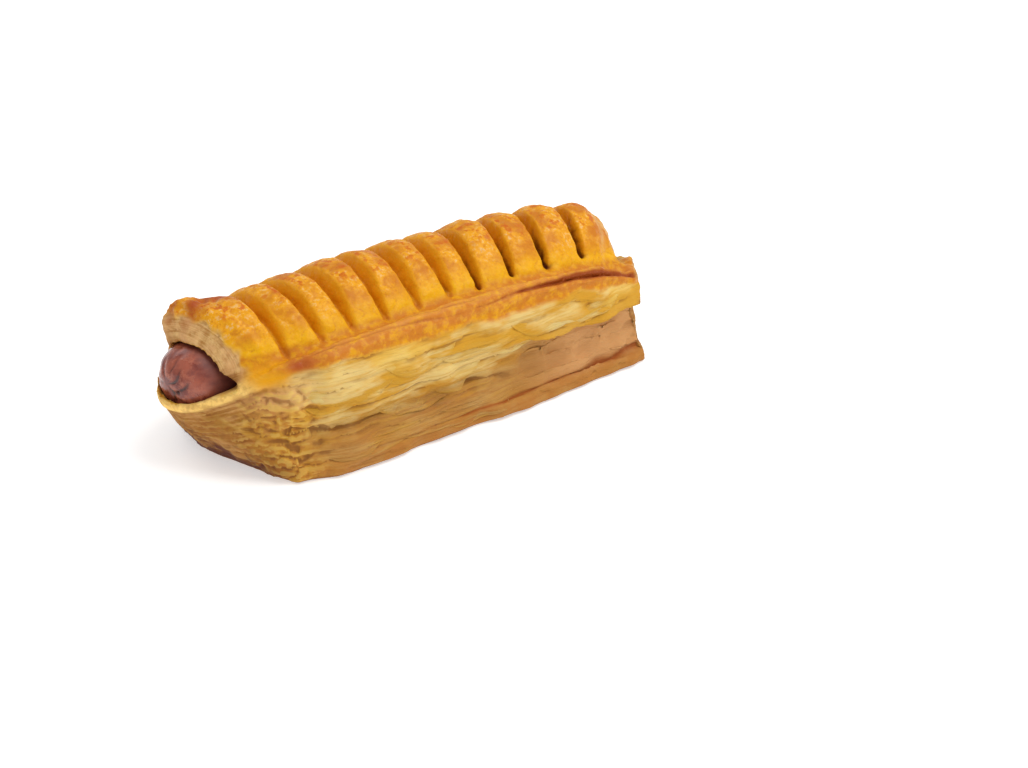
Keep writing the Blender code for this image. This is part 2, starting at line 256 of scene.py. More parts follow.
pastry = {
    "voxel": 0.62,
    "smoothing": 6,
    "kept": 0.63,  # share of the faces left after thinning
    "sausageAxis": (2.4, 19.5),
    "sausageLift": (6.1, 4.5),
    "paleWithin": 18.6,  # how far from the sausage's middle the flap's cut ends stay pale
    "crimpTop": (
        (-71, 34.2), (-59, 35.2), (-49, 36.2), (-38, 37.4), (16, 37.4),
        (28, 36.4), (41, 35.1), (54, 33.0), (63, 30.8), (72, 28.4),
    ),
    "crimpDrop": 9.0,  # height over which the browning of the top changes
    # along x: the folded-over edge's crease, as y and z, and how deep it is
    "crease": (
        (-62, -22.4, 34.0, 0.2), (-50, -24.4, 35.8, 0.5), (-41, -26.2, 36.9, 0.55), (-30, -26.0, 37.2, 0.5),
        (-16, -26.6, 36.8, 0.55), (-4, -27.4, 35.2, 0.4), (9, -27.4, 35.6, 0.55), (23, -26.4, 36.2, 1.1),
        (42, -25.0, 34.4, 1.9), (53, -24.3, 32.4, 2.0), (60, -23.8, 30.6, 2.0), (66, -23.2, 28.4, 2.0),
        (72, -22.6, 26.6, 1.6),
    ),
    "creaseDepth": 1.15,
    "pressedDepth": 0.3,
    "bandEnd": (
        (-60, 31.4), (-42, 33.2), (-32, 32.7), (-19, 31.9), (0, 31.2),
        (14, 30.6), (24, 30.6), (43, 29.8), (57, 26.8), (70, 24.6),
    ),
    "valleyY": ((-56, -20.6), (-35, -20.6), (-22, -19.9), (0, -19.0), (23, -18.4), (52, -17.0), (66, -15.5)),
    # along y: the edge of the left mouth
    "mouthEdge": (
        (-21, 31.4), (-17, 28.4), (-12.6, 25.6), (-8.7, 23.6), (-2.5, 21.6),
        (1, 21.3), (7, 23.0), (11.6, 26.6), (13, 30),
    ),
    "mouthLow": 21.3,
    # x and y of each slit's near tip, the x of its far tip, and how strong the painted shade in its hole is
    "slits": (
        (-53.3, -20.4, -55.3, 0), (-42.5, -21.1, -45.5, 0), (-32.6, -21.1, -32.1, 0),
        (-21.4, -21.1, -19.7, 0.1), (-9.8, -20.9, -7.9, 0.2), (1.3, -20.7, 4.4, 0.35),
        (11.5, -20.7, 17.9, 0.5), (24.2, -19.6, 32.3, 0.75), (37.7, -18.6, 45.3, 1.0),
        (52.5, -16.8, 60.3, 0.85),
    ),
    "slitEndY": 18.9,
    "closingSlits": 5,  # the slits from this one on close sooner at their near ends
    "layerPitch": 2.9,
    "layerDepth": 0.6,
    "ringPitch": 1.2,  # layers round the sausage, on the flap's ends
    "ringDepth": 0.14,
    "sheetPitch": 1.9,  # layers below the mouths
    "sheetDepth": 0.55,
    "wallCrease": (
        (-60, 15.6), (-54, 15.1), (-46, 14.0), (-38, 13.8), (-25, 13.7),
        (-17, 13.2), (0, 14.0), (12, 12.4), (30, 9.0),
    ),
    "wallCreaseDepth": 1.1,
    "overhang": ((2, 21.0), (16, 22.6), (31, 18.6), (39, 19.4), (53, 17.6), (58, 19.1), (70, 19.5)),
    "overhangDepth": 2.1,
    "footHeight": 5.7,
    "footDepth": 0.8,
    "blister": 0.3,
    "crumb": 1.25,
    "crumbSpacing": 4.6,
    "cornerX": -58,
}


def bakePastry():
    crust = copyOfNode("pastry", "crust")
    remesh = crust.modifiers.new("rebuild", "REMESH")
    remesh.mode = "VOXEL"
    remesh.voxel_size = pastry["voxel"] * mm
    smooth = crust.modifiers.new("soften", "SMOOTH")
    smooth.factor = 0.5
    smooth.iterations = pastry["smoothing"]
    applyAll(crust)
    return crust


def regionsOf(points, normals):
    x, y, z = points.T
    nx, ny, nz = normals.T
    axisY, axisZ = pastry["sausageAxis"]
    lift = pastry["sausageLift"]
    axisZ = axisZ + np.where(x < 0, lift[0] * (x / 79.8) ** 2, lift[1] * (x / 78) ** 2)
    reach = np.hypot(y - axisY, z - axisZ)
    facingOut = (ny * (y - axisY) + nz * (z - axisZ)) / np.maximum(reach, 0.1)
    parts = {"reach": reach}
    parts["creaseY"] = along(x, [(key[0], key[1]) for key in pastry["crease"]])
    parts["creaseZ"] = along(x, [(key[0], key[2]) for key in pastry["crease"]])
    parts["aboveMouth"] = ramp(z, 28, 33)
    within = np.minimum(x + 76, 75 - x)
    parts["inside"] = ramp(-facingOut, -0.1, 0.35) * (1 - ramp(reach, 15.0, 17.5)) * ramp(within, -2, 3)
    parts["floor"] = ramp(-nz, 0.6, 0.9) * (1 - ramp(z, 1.0, 2.5))
    parts["outer"] = (1 - parts["inside"]) * (1 - parts["floor"])

    # the end walls, up to the ragged edge of the glaze
    atEnd = np.maximum(ramp(-x, 56, 60), ramp(x, 58, 63))
    sloping = np.maximum(ramp(x, 58, 63), ramp(-x, 58, 63) * ramp(y, 4, 12)) * (1 - ramp(z, 19, 24))
    facingEnd = np.abs(nx) + 0.1 * wander(points, (4, 4, 4), 38) + 0.22 * sloping
    ragged = reach + 2.2 * wander(points, (4, 3, 3), 48)
    glazed = ramp(ragged, pastry["paleWithin"] - 0.9, pastry["paleWithin"] + 1.1)
    parts["endFace"] = ramp(facingEnd, 0.54, 0.68) * atEnd
    parts["endFace"] *= 1 - glazed * ramp(z, 28, 32)
    parts["slitWall"] = ramp(np.abs(nx), 0.35, 0.75) * (1 - atEnd) * ramp(z, 22, 28)

    # the glazed top, and the side walls below it
    bandZ = along(x, pastry["bandEnd"]) + 1.1 * wander(points, (9, 9, 9), 30)
    bandZ += 0.5 * wander(points, (3, 3, 3), 31)
    nearTop = ramp(z - bandZ, -0.7, 0.7)
    farTop = ramp(z + 6.0 * wander(points, (16, 9, 9), 52) + 2.5 * wander(points, (5, 4, 4), 53), 13, 17)
    parts["top"] = np.where(y < 4, nearTop, farTop) * (1 - parts["endFace"])
    near = (1 - nearTop) * ramp(-y, 14, 20) * (1 - parts["endFace"])
    far = (1 - farTop) * ramp(y, 14, 20) * (1 - parts["endFace"])
    parts["wall"] = np.clip(near + far * 0.6, 0, 1) * parts["outer"]

    # below the left mouth the layers follow its edge, then flatten towards the base
    edge = along(y, pastry["mouthEdge"])
    parts["level"] = z - (edge - pastry["mouthLow"]) * np.clip(z / edge, 0, 1)
    atEdge = ramp(z - edge, -3.6, -2.2) * ramp(-x, 60, 64) * (1 - ramp(z - edge, 0.5, 2.5))
    parts["lip"] = atEdge * ramp(-y, -13, -10)
    return parts


def nearTips(points):  # 1 at the near ends of the later slits
    x, y, z = points.T
    tips = np.zeros(len(points))
    for slit in pastry["slits"][pastry["closingSlits"]:]:
        across = np.exp(-((x - slit[0] - 0.3) / 2.6) ** 4)
        tips = np.maximum(tips, across * (1 - ramp(y - slit[1], 1.2, 3.4)) * ramp(y - slit[1], -2.5, -1))
    return tips * ramp(z, 26, 30)


def layerSides(points, parts, rise):  # each layer stands out at its lower edge
    z = points[:, 2]
    warp = 2.6 * wander(points, (30, 30, 14), 3) + 0.9 * wander(points, (9, 9, 5), 4)
    level = (z + warp) / pastry["layerPitch"]
    stand = 1 - (level - np.floor(level))
    patchy = np.clip(0.5 + 1.1 * wander(points, (20, 20, 3.5), 5), 0, 1)
    uneven = 0.6 * wander(points, (13, 9, 4.5), 32) + 0.3 * wander(points, (5, 4, 2.4), 33)
    rise += pastry["layerDepth"] * (stand - 0.5) * patchy * parts["wall"]
    rise += parts["wall"] * uneven


def layerEnds(points, parts, rise):  # round the sausage on the flap, along the mouth's edge below it
    endWall = parts["endFace"] * parts["outer"]
    aboveMouth = parts["aboveMouth"]
    bent = 0.8 * wander(points, (9, 14, 14), 6) + 0.35 * wander(points, (4, 5, 5), 7)
    ring = (parts["reach"] + bent) / pastry["ringPitch"]
    sheet = (parts["level"] + 1.2 * bent) / pastry["sheetPitch"]
    faded = np.clip(0.4 + 1.4 * wander(points, (6, 8, 8), 34), 0, 1)
    rise += pastry["ringDepth"] * (ring - np.floor(ring) - 0.5) * endWall * faded * aboveMouth
    rise += 0.3 * wander(points, (2.2, 2.2, 2.2), 50) * endWall * aboveMouth
    rise += pastry["sheetDepth"] * (0.5 - (sheet - np.floor(sheet))) * endWall * faded * (1 - aboveMouth)
    rise += 0.35 * wander(points, (5, 5, 3.5), 35) * endWall
    rise += 0.35 * parts["lip"]


def crumbleCorner(points, parts, rise):  # the near corner at the left, and pits in the end walls
    x, y, z = points.T
    endWall = parts["endFace"] * parts["outer"]
    corner = np.exp(-((x - pastry["cornerX"]) / 8) ** 2) * ramp(-y, 8, 20) * (1 - ramp(z, 27, 32))
    corner *= parts["outer"]
    crumbly = np.clip(corner + 0.35 * endWall * (1 - ramp(z, 26, 30)), 0, 1) * (1 - parts["lip"])
    holes = np.clip(1 - bubbles(points * np.array([0.8, 0.8, 1.2]), pastry["crumbSpacing"], 1) / 0.42, 0, 1)
    holes *= np.clip(0.1 + 2.2 * wander(points, (8, 8, 6), 9), 0, 1)
    bent = points + 1.6 * np.column_stack([wander(points, (5, 5, 5), seed) for seed in (40, 41, 42)])
    grit = 1.0 * wander(bent, (3.8, 3.8, 2.4), 10) + 0.5 * wander(bent, (1.8, 1.8, 1.3), 11)
    torn = cracks(bent, (7.5, 7.5, 4.4), 43) ** 2
    grit -= 0.8 * torn * np.clip(0.5 + 1.2 * wander(points, (9, 9, 9), 44), 0, 1)
    rise += crumbly * pastry["crumb"] * (0.6 * grit - 1.1 * holes)
    parts["crumbly"] = crumbly


def blisterTop(points, parts, rise):  # blisters on the glaze and small folds on the crimp
    x, y, z = points.T
    blister = wander(points, (4.4, 3.4, 3.4), 8) + 0.6 * wander(points, (1.9, 1.7, 1.7), 12)
    blister -= 0.9 * cracks(points, (5.5, 4.5, 4.5), 45) ** 4
    rise += pastry["blister"] * blister * parts["top"] * parts["outer"] * (1 - 0.5 * parts["slitWall"])
    parts["crimp"] = ramp(along(x, pastry["valleyY"]) - y, 0.5, 2.5) * ramp(z - parts["creaseZ"], -3.0, -1.5)
    rise += 0.35 * wander(points, (6.5, 3, 3), 13) * parts["crimp"] * parts["outer"]


def pressSeam(points, parts, rise):  # the folded-over edge's crease, and finer lines beside it
    x, y, z = points.T
    outer = parts["outer"]
    aside = y - parts["creaseY"] + 0.6 * wander(points, (9, 9, 9), 14)
    off = np.hypot(aside, z - parts["creaseZ"])
    depth = along(x, [(key[0], key[3]) for key in pastry["crease"]])
    width = 0.7 + 0.35 * ramp(depth, 0.8, 1.8)
    seam = np.exp(-(off / width) ** 2) * (1 - 0.5 * parts["endFace"] * (x < 0))
    rise -= pastry["creaseDepth"] * seam * depth * outer
    rise += 0.5 * np.exp(-((off - 1.8) / 0.9) ** 2) * parts["crimp"] * ramp(depth, 0.6, 1.6) * outer
    pressed = np.exp(-((aside - 2.3 - 0.8 * wander(points, (7, 7, 7), 47)) / 0.4) ** 2)
    pressed = pressed * parts["crimp"] * (1 - ramp(x, 0, 14))
    rise -= pastry["pressedDepth"] * pressed * outer
    soft = 0.45 * np.exp(-(off / 1.6) ** 2) * ramp(x, 22, 46) * ramp(z, 24, 27)
    parts["seam"] = soft + seam * (0.06 + 0.66 * depth) + 0.45 * pressed


def foldSides(points, parts, rise):  # creases low on the side, and the overhanging layer at the right
    x, y, z = points.T
    nearSide = ramp(-y, 10, 16)
    fold = (z - along(x, pastry["wallCrease"]) - 0.8 * wander(points, (10, 10, 10), 15)) / 0.9
    rise -= pastry["wallCreaseDepth"] * np.exp(-fold**2) * parts["wall"] * (1 - ramp(x, 8, 22)) * nearSide
    under = along(x, pastry["overhang"]) + 0.9 * wander(points, (6, 6, 6), 16) - z
    recess = ramp(under, -0.3, 0.9) * ramp(z, 2.6, 6.0) * ramp(x, 4, 24) * nearSide
    rise -= pastry["overhangDepth"] * recess * (1 - parts["floor"])
    foot = (z - pastry["footHeight"] - 0.8 * wander(points, (9, 9, 9), 17)) / 0.8
    foot = np.exp(-(foot**2)) * parts["wall"]
    rise -= pastry["footDepth"] * foot
    parts["seam"] = np.clip(parts["seam"] + 0.55 * foot * ramp(x, -30, 0), 0, 1)
    parts["recess"] = recess * (1 - parts["endFace"])


def scorchTips(points, parts, rise):  # the lumpy corner of the flap, and the browned start of the seam
    x, y, z = points.T
    lobes = ramp(-x, 52, 64) * ramp(y, -3, 5) * ramp(z, 36, 42)
    lumps = 1.3 * wander(points, (4.5, 4, 4), 46) + 0.5 * wander(points, (2, 2, 2), 51)
    rise += lumps * lobes * parts["outer"]
    scorch = np.clip(lobes * (0.4 + 1.5 * wander(points, (7, 5, 5), 37)), 0, 1)
    scorch = scorch * (1 - 0.6 * parts["endFace"]) * parts["outer"]
    seamStart = np.exp(-((x + 54) / 5.0) ** 2) * np.exp(-((y + 25.5) / 3.0) ** 2)
    seamStart *= np.exp(-((z - 34) / 2.2) ** 2)
    parts["scorch"] = np.maximum(scorch, 0.9 * seamStart)
    lipHeight = np.exp(-((z - 31.2 - 0.3 * (x + 60)) / 2.4) ** 2)
    parts["rimToCrimp"] = np.exp(-((x + 61) / 4.6) ** 4) * ramp(-y, 12, 17) * lipHeight


def raiseRelief(crust):
    points = pointsOf(crust)
    points += (blurred(crust, points, 45) - points) * nearTips(points)[:, None]
    atLip = ramp(-points[:, 0], 70, 74) * (1 - ramp(points[:, 2], 27, 30))
    points += (blurred(crust, points, 10) - points) * atLip[:, None]
    movePoints(crust, points)
    normals = normalsOf(crust)
    parts = regionsOf(points, normals)
    rise = np.zeros(len(points))
    for shape in (layerSides, layerEnds, crumbleCorner, blisterTop, pressSeam, foldSides, scorchTips):
        shape(points, parts, rise)
    parts["height"] = (points[:, 2] - along(points[:, 0], pastry["crimpTop"])) / pastry["crimpDrop"]
    movePoints(crust, insideCad(points + normals * rise[:, None]))
    return parts


def slitHoleShade(points):  # painted shade: 1 where a slit opens on to the sausage, at its near end
    x, y, z = points.T
    holes = np.zeros(len(points))
    for nearX, nearY, farX, strength in pastry["slits"]:
        share = (y - nearY) / (pastry["slitEndY"] - nearY)
        middle = nearX + (farX - nearX) * share + 0.5
        flap = 37 + 9.5 * np.sin(np.pi * np.clip((y + 21) / 48, 0, 1))
        sunk = ramp(flap - z + 0.5 * wander(points, (4, 4, 4), 49), 2.0, 4.0)
        sunk = sunk * np.exp(-((x - middle) / 2.3) ** 4)
        holes = np.maximum(holes, strength * sunk * ramp(0.42 - share, 0, 0.12) * ramp(share, 0.03, 0.07))
    return holes * ramp(z, 24, 28)


def paintMasks(crust, parts):
    points = pointsOf(crust)
    normals = normalsOf(crust)
    x, y = points[:, 0], points[:, 1]
    # painted shade and highlight: how far each point sits in a small hollow, later darker in the hollows and
    # lighter on the bumps
    closeUp = np.einsum("ij,ij->i", blurred(crust, points, 5) - points, normals)
    wide = np.einsum("ij,ij->i", blurred(crust, points, 40) - points, normals)
    parts["hollowShading"] = np.clip(closeUp / 0.16, -1, 1) * (0.5 - 0.3 * parts["recess"]) + 0.5
    # painted shade: how far each point sits in a wide hollow, for the darker slit walls and the slit holes
    parts["deep"] = np.clip(wide / 1.1, -1, 1) * 0.5 + 0.5
    parts["cut"] = slitHoleShade(points) * ramp(parts["deep"], 0.35, 0.55)
    for name in ("hollowShading", "deep", "top", "endFace", "slitWall", "inside", "floor", "cut", "scorch",
                 "lip", "seam", "crumbly", "recess", "crimp", "height", "aboveMouth", "rimToCrimp"):
        store(crust, name, parts[name])
    store(crust, "round", np.column_stack([y * 0.5, x, parts["reach"]]))
    store(crust, "sloped", np.column_stack([y * 0.6, x, parts["level"]]))


def thinOut(crust):
    thin = crust.modifiers.new("thin", "DECIMATE")
    thin.ratio = pastry["kept"]
    applyAll(crust)
    bpy.ops.object.mode_set(mode="EDIT")
    bpy.ops.mesh.select_all(action="DESELECT")
    bpy.ops.object.mode_set(mode="OBJECT")
    highest = int(np.argmax(pointsOf(crust)[:, 2]))
    crust.data.vertices[highest].select = True
    bpy.ops.object.mode_set(mode="EDIT")
    bpy.ops.mesh.select_linked()
    bpy.ops.mesh.select_all(action="INVERT")
    bpy.ops.mesh.delete(type="VERT")  # loose crumbs left by the rebuild
    bpy.ops.object.mode_set(mode="OBJECT")
    crust.data.calc_loop_triangles()
    print("pastry thinned to", len(crust.data.loop_triangles), "triangles")


crust = bakePastry()
paintMasks(crust, raiseRelief(crust))
thinOut(crust)
crust.data.shade_smooth()
print("pastry relief raised")


# looks

class Tree:
    def __init__(self, nodeTree):
        self.nodes = nodeTree.nodes
        self.links = nodeTree.links

    def add(self, kind, **settings):
        node = self.nodes.new(kind)
        for key, value in settings.items():
            setattr(node, key, value)
        return node

    def mask(self, name):
        return self.add("ShaderNodeAttribute", attribute_name=name).outputs["Fac"]

    def vector(self, name):
        return self.add("ShaderNodeAttribute", attribute_name=name).outputs["Vector"]

    def place(self, scale=(1, 1, 1), source=None):
        mapping = self.add("ShaderNodeMapping")
        mapping.inputs["Scale"].default_value = scale
        if source is None:
            source = self.add("ShaderNodeTexCoord").outputs["Object"]
        self.links.new(source, mapping.inputs["Vector"])
        return mapping.outputs["Vector"]

    def axes(self, source):
        node = self.add("ShaderNodeSeparateXYZ")
        self.links.new(source, node.inputs[0])
        return node.outputs

    def speckle(self, source, scale, detail=4, roughness=0.55):
        texture = self.add("ShaderNodeTexNoise")
        texture.inputs["Scale"].default_value = scale
        texture.inputs["Detail"].default_value = detail
        texture.inputs["Roughness"].default_value = roughness
        self.links.new(source, texture.inputs["Vector"])
        return texture.outputs["Fac"]

    def set(self, socket, value):  # a plain value, or a link from another node
        if isinstance(value, (int, float, tuple)):
            socket.default_value = value
        else:
            self.links.new(value, socket)

    def calc(self, kind, *values):
        node = self.add("ShaderNodeMath", operation=kind)
        for socket, value in zip(node.inputs, values):
            self.set(socket, value)
        return node.outputs[0]

    def times(self, a, b):
        return self.calc("MULTIPLY", a, b)

    def plus(self, a, b):
        return self.calc("ADD", a, b)

    def minus(self, a, b):
        return self.calc("SUBTRACT", a, b)

    def timesPlus(self, a, b, c):
        return self.calc("MULTIPLY_ADD", a, b, c)

    def spread(self, value, low, high, toLow=0.0, toHigh=1.0):
        node = self.add("ShaderNodeMapRange", interpolation_type="SMOOTHSTEP")
        self.links.new(value, node.inputs["Value"])
        for name, number in (("From Min", low), ("From Max", high), ("To Min", toLow), ("To Max", toHigh)):
            node.inputs[name].default_value = number
        return node.outputs["Result"]

    def mix(self, factor, a, b):
        node = self.add("ShaderNodeMix", data_type="FLOAT")
        for socket, value in zip((node.inputs["Factor"], node.inputs[2], node.inputs[3]), (factor, a, b)):
            self.links.new(value, socket)
        return node.outputs[0]

    def use(self, group, **values):
        node = self.add("ShaderNodeGroup", node_tree=group)
        for name, value in values.items():
            self.set(node.inputs[name], value)
        return node.outputs

    def blend(self, factor, a, b):
        node = self.add("ShaderNodeMix", data_type="RGBA")
        for socket, value in ((node.inputs["Factor"], factor), (node.inputs[6], a), (node.inputs[7], b)):
            self.set(socket, value)
        return node.outputs[2]


def materialTree(name, finish):
    material = bpy.data.materials.new(name)
    material.use_nodes = True
    look = Tree(material.node_tree)
    look.material = material
    look.shader = look.nodes["Principled BSDF"].inputs
    look.shader["Specular IOR Level"].default_value = finish["specular"]
    look.shader["Subsurface Weight"].default_value = finish["glow"]
    look.shader["Subsurface Radius"].default_value = finish["glowReach"]
    look.shader["Subsurface Scale"].default_value = finish["glowScale"]
    look.bump = look.add("ShaderNodeBump")
    look.bump.inputs["Strength"].default_value = finish["bump"]
    look.bump.inputs["Distance"].default_value = finish["bumpHeight"]
    look.links.new(look.bump.outputs["Normal"], look.shader["Normal"])
    return look


def finishLook(look, base, roughness, height):
    look.links.new(base, look.shader["Base Color"])
    look.links.new(roughness, look.shader["Roughness"])
    look.links.new(height, look.bump.inputs["Height"])
    return look.material


def groupTree(name, inputs, outputs):
    group = bpy.data.node_groups.new(name, "ShaderNodeTree")
    for socket, kind in inputs:
        group.interface.new_socket(socket, in_out="INPUT", socket_type=kind)
    for socket, kind in outputs:
        group.interface.new_socket(socket, in_out="OUTPUT", socket_type=kind)
    look = Tree(group)
    look.given = look.add("NodeGroupInput").outputs
    look.result = look.add("NodeGroupOutput").inputs
    look.group = group
    return look


pastryColours = {
    "gold": colour(226, 156, 20),
    "yellow": colour(230, 170, 4),
    "bronze": colour(192, 112, 26),
    "burntOrange": colour(192, 90, 14),
    "amber": colour(196, 120, 2),
    "seam": colour(148, 64, 18),
    "scorch": colour(158, 66, 28),
    "cream": colour(218, 188, 118),
    "butter": colour(200, 146, 44),
    "tan": colour(166, 114, 56),
    "brown": colour(132, 82, 38),
    "burnt": colour(84, 38, 36),
    "crumb": colour(226, 186, 124),
    # painted shade colour for the slit holes
    "holeShadow": colour(84, 34, 12),
    "rosy": colour(212, 140, 70),
    # the lip's yellow baked edge, lightened further as a painted highlight
    "rim": colour(248, 204, 116),
    "pinkish": colour(212, 160, 108),
    "straw": colour(226, 188, 92),
    "toast": colour(184, 120, 44),
    "foot": colour(172, 112, 50),
    "recess": colour(202, 149, 96),
    "back": colour(204, 142, 46),
}


def layersGroup():  # the sides' colours, cream and butter above and tan below, and their fine lines
    given = [("Tone", "NodeSocketFloat")]
    result = [("Color", "NodeSocketColor"), ("Lines", "NodeSocketFloat")]
    look = groupTree("bakedLayers", given, result)
    tints = pastryColours
    clouds = look.speckle(look.place((60, 90, 200)), 1.0, 3, 0.55)
    wide = look.speckle(look.place((30, 30, 60)), 1.0, 2, 0.5)
    lines = look.speckle(look.place((55, 55, 1200)), 1.0, 4, 0.62)
    fine = look.speckle(look.place((120, 120, 3000)), 1.0, 3, 0.6)
    height = look.axes(look.place())["Z"]
    toned = look.plus(clouds, look.timesPlus(look.given["Tone"], 0.12, -0.06))
    base = look.blend(look.spread(toned, 0.4, 0.6), tints["butter"], tints["cream"])
    base = look.blend(look.times(look.spread(wide, 0.5, 0.64), 0.6), base, tints["straw"])
    base = look.blend(look.times(look.spread(lines, 0.48, 0.66), 0.5), base, tints["butter"])
    low = look.spread(look.timesPlus(clouds, 0.006, height), 0.024, 0.013)
    base = look.blend(look.times(low, look.spread(lines, 0.3, 0.7, 1.0, 0.6)), base, tints["tan"])
    base = look.blend(look.times(look.spread(fine, 0.52, 0.75), 0.25), base, tints["brown"])
    look.links.new(base, look.result["Color"])
    relief = look.plus(look.times(lines, 0.9), look.times(fine, 0.5))
    look.links.new(relief, look.result["Lines"])
    return look.group


bakedLayers = layersGroup()

pastryFinish = {
    "specular": 0.1,
    "glow": 0.08,
    "glowReach": (0.004, 0.002, 0.0008),
    "glowScale": 0.5,
    "bump": 0.6,
    "bumpHeight": 0.0007,
    "glaze": 0.1,
    "glazeRoughness": 0.25,
}


def pastryLook():
    look = materialTree("bakedPastry", pastryFinish)
    tints = pastryColours
    place = look.place()
    where = look.axes(place)
    patches = look.speckle(place, 130, 3)
    blotches = look.speckle(place, 420, 4, 0.6)
    dapple = look.speckle(place, 800, 3, 0.65)
    specks = look.speckle(place, 1500, 3, 0.6)
    onEnds = look.mask("endFace")
    rings = look.speckle(look.place((0.06, 0.06, 2.1), look.vector("round")), 1.0, 4, 0.65)
    slopes = look.speckle(look.place((0.09, 0.09, 0.95), look.vector("sloped")), 1.0, 4, 0.65)
    mottled = look.timesPlus(look.plus(rings, blotches), 0.4, 0.1)
    endLines = look.mix(look.mask("aboveMouth"), slopes, mottled)
    layers = look.use(bakedLayers, Tone=0.5)
    hollowShading = look.mask("hollowShading")
    height = look.mask("height")

    # glazed top: saturated yellow low down, gold above, dappled pale and bronze over the ridge
    top = look.blend(look.spread(height, 0.0, 0.7), tints["yellow"], tints["gold"])
    bronze = look.times(look.spread(patches, 0.42, 0.66), look.spread(height, 0.1, 0.8, 0.15, 0.9))
    top = look.blend(bronze, top, tints["bronze"])
    lace = look.times(look.spread(dapple, 0.5, 0.66), look.spread(height, 0.0, 0.8, 0.1, 0.55))
    top = look.blend(lace, top, tints["bronze"])
    pale = look.times(look.spread(dapple, 0.48, 0.34), look.spread(height, 0.15, 0.8, 0.1, 0.7))
    top = look.blend(look.times(pale, look.spread(patches, 0.62, 0.4)), top, tints["crumb"])
    # painted shade: bronze in the small hollows of the top
    top = look.blend(look.times(look.spread(hollowShading, 0.5, 0.9), 0.35), top, tints["bronze"])
    ridge = look.times(look.spread(height, 0.85, 1.1), look.spread(blotches, 0.5, 0.62))
    top = look.blend(look.times(ridge, 0.8), top, tints["burntOrange"])

    # walls of the slits: smooth amber, with painted shade darkening them towards the bottom
    cutWall = look.blend(look.spread(look.mask("deep"), 0.42, 0.72), tints["gold"], tints["amber"])
    cutWall = look.blend(look.spread(look.mask("deep"), 0.68, 0.95, 0, 0.7), cutWall, tints["bronze"])
    top = look.blend(look.times(look.mask("slitWall"), 0.85), top, cutWall)
    crimped = look.times(look.mask("crimp"), look.spread(blotches, 0.3, 0.58, 0.15, 0.8))
    top = look.blend(crimped, top, tints["rosy"])

    # sides: the layers, pinker in the recess, painted shade brown in the creases
    side = look.blend(look.times(look.mask("recess"), 0.7), layers["Color"], tints["tan"])
    pinker = look.times(look.mask("recess"), look.spread(where["X"], 0.015, 0.045, 0, 0.9))
    side = look.blend(pinker, side, tints["recess"])
    # painted shade: darker butter yellow where the overhanging layer turns down above the recess, kept clear
    # of the foot and the recess
    undersideShade = look.times(look.spread(where["X"], 0.008, 0.024), look.spread(where["Z"], 0.0265, 0.0225))
    undersideShade = look.times(undersideShade, look.minus(look.spread(where["Z"], 0.010, 0.015), look.mask("recess")))
    side = look.blend(look.times(undersideShade, 0.85), side, tints["butter"])
    side = look.blend(look.times(look.spread(hollowShading, 0.58, 1.0), 0.6), side, tints["brown"])
    foot = look.spread(where["Z"], 0.0065, 0.004)
    side = look.blend(look.times(foot, look.spread(patches, 0.4, 0.6, 0.45, 0.85)), side, tints["foot"])

    # end walls: crumb colour in fine layers, with painted shade in the pits, and darker towards the base
    ends = look.blend(look.spread(endLines, 0.38, 0.62), tints["tan"], tints["crumb"])
    ends = look.blend(look.times(look.spread(specks, 0.5, 0.7), 0.3), ends, tints["tan"])
    underMouth = look.minus(1.0, look.mask("aboveMouth"))
    ends = look.blend(look.spread(patches, 0.45, 0.62, 0.0, 0.6), ends, tints["pinkish"])
    ends = look.blend(look.times(underMouth, look.spread(patches, 0.4, 0.62, 0.95, 0.25)), ends, tints["tan"])
    underLines = look.times(underMouth, look.spread(endLines, 0.42, 0.56, 0.8, 0.1))
    ends = look.blend(underLines, ends, tints["brown"])
    ends = look.blend(look.spread(where["Z"], 0.023, 0.017, 0, 0.45), ends, tints["brown"])
    ends = look.blend(look.times(look.spread(hollowShading, 0.55, 1.0), 0.7), ends, tints["brown"])
    # the lip's yellow edge, partly its baked colour and partly a painted highlight
    rim = look.times(look.mask("lip"), look.spread(blotches, 0.4, 0.6, 1.0, 0.6))
    ends = look.blend(rim, ends, tints["rim"])
    side = look.blend(onEnds, side, ends)

    # the crumbly near corner, with painted highlights on its bumps and painted shade in its pits, and the
    # burnt base of the ends
    corner = look.blend(look.spread(blotches, 0.38, 0.6), tints["butter"], tints["toast"])
    corner = look.blend(look.spread(where["Z"], 0.018, 0.026, 0, 0.7), corner, tints["pinkish"])
    # painted highlight: straw on the corner's bumps
    corner = look.blend(look.spread(hollowShading, 0.48, 0.15, 0, 0.6), corner, tints["straw"])
    # painted shade: brown in the corner's pits, weaker up high
    pits = look.spread(hollowShading, 0.52, 0.95, 0, 0.85)
    pits = look.times(pits, look.spread(where["Z"], 0.018, 0.026, 1.0, 0.5))
    corner = look.blend(pits, corner, tints["brown"])
    side = look.blend(look.times(look.mask("crumbly"), 0.7), side, corner)
    burnt = look.plus(where["Z"], look.spread(patches, 0.3, 0.7, -0.003, 0.004))
    burnt = look.timesPlus(look.minus(blotches, 0.5), 0.012, burnt)
    burnt = look.times(look.spread(burnt, 0.012, 0.003, 0, 0.9), onEnds)
    burnt = look.times(burnt, look.spread(where["X"], -0.02, 0.02, 1.0, 0.35))
    burnt = look.times(burnt, look.spread(where["Y"], -0.027, -0.015, 0.3, 1.0))
    side = look.blend(burnt, side, tints["burnt"])

